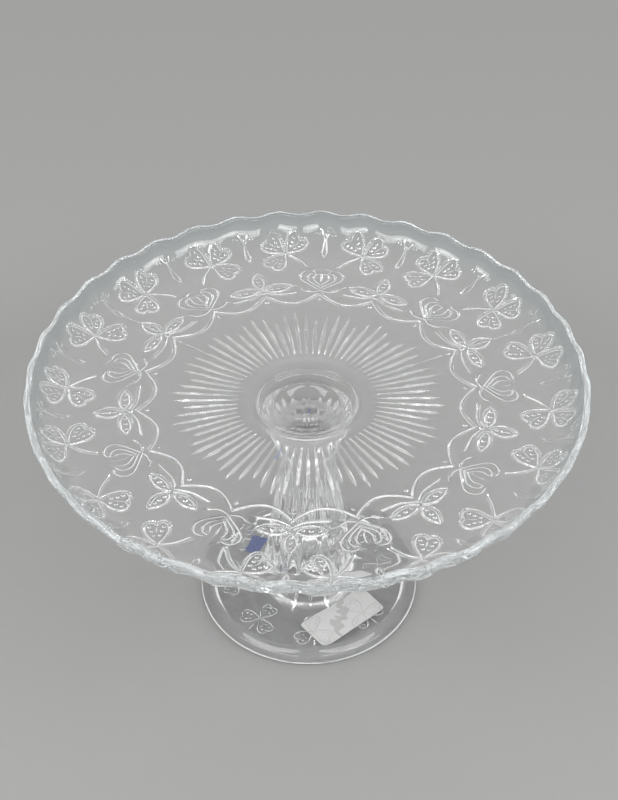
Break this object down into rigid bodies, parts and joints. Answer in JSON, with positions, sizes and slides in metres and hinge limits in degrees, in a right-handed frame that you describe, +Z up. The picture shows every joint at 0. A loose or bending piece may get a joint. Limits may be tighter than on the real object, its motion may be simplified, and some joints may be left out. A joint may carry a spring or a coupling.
{
  "type": "footed cake stand",
  "caption": "Round clear pressed-glass cake stand: a scalloped plate with a central well, fused at the waist to a ribbed pedestal with a ringed foot.",
  "frame": {"origin": "on the table, under the middle of the foot", "axes": "+Z up along the stem, -Y towards the viewer of the picture"},
  "size_m": [0.297, 0.297, 0.1637],
  "materials": {
    "plate_glass": "clear pressed glass, polished",
    "pedestal_glass": "clear pressed glass, polished",
    "label_paper": "white paper, blank",
    "sticker_paper": "blue paper, blank"
  },
  "bodies": {
    "root": {"plate": "plate_glass", "pedestal": "pedestal_glass", "paper_label": "label_paper", "blue_sticker": "sticker_paper"}
  },
  "joints": []
}
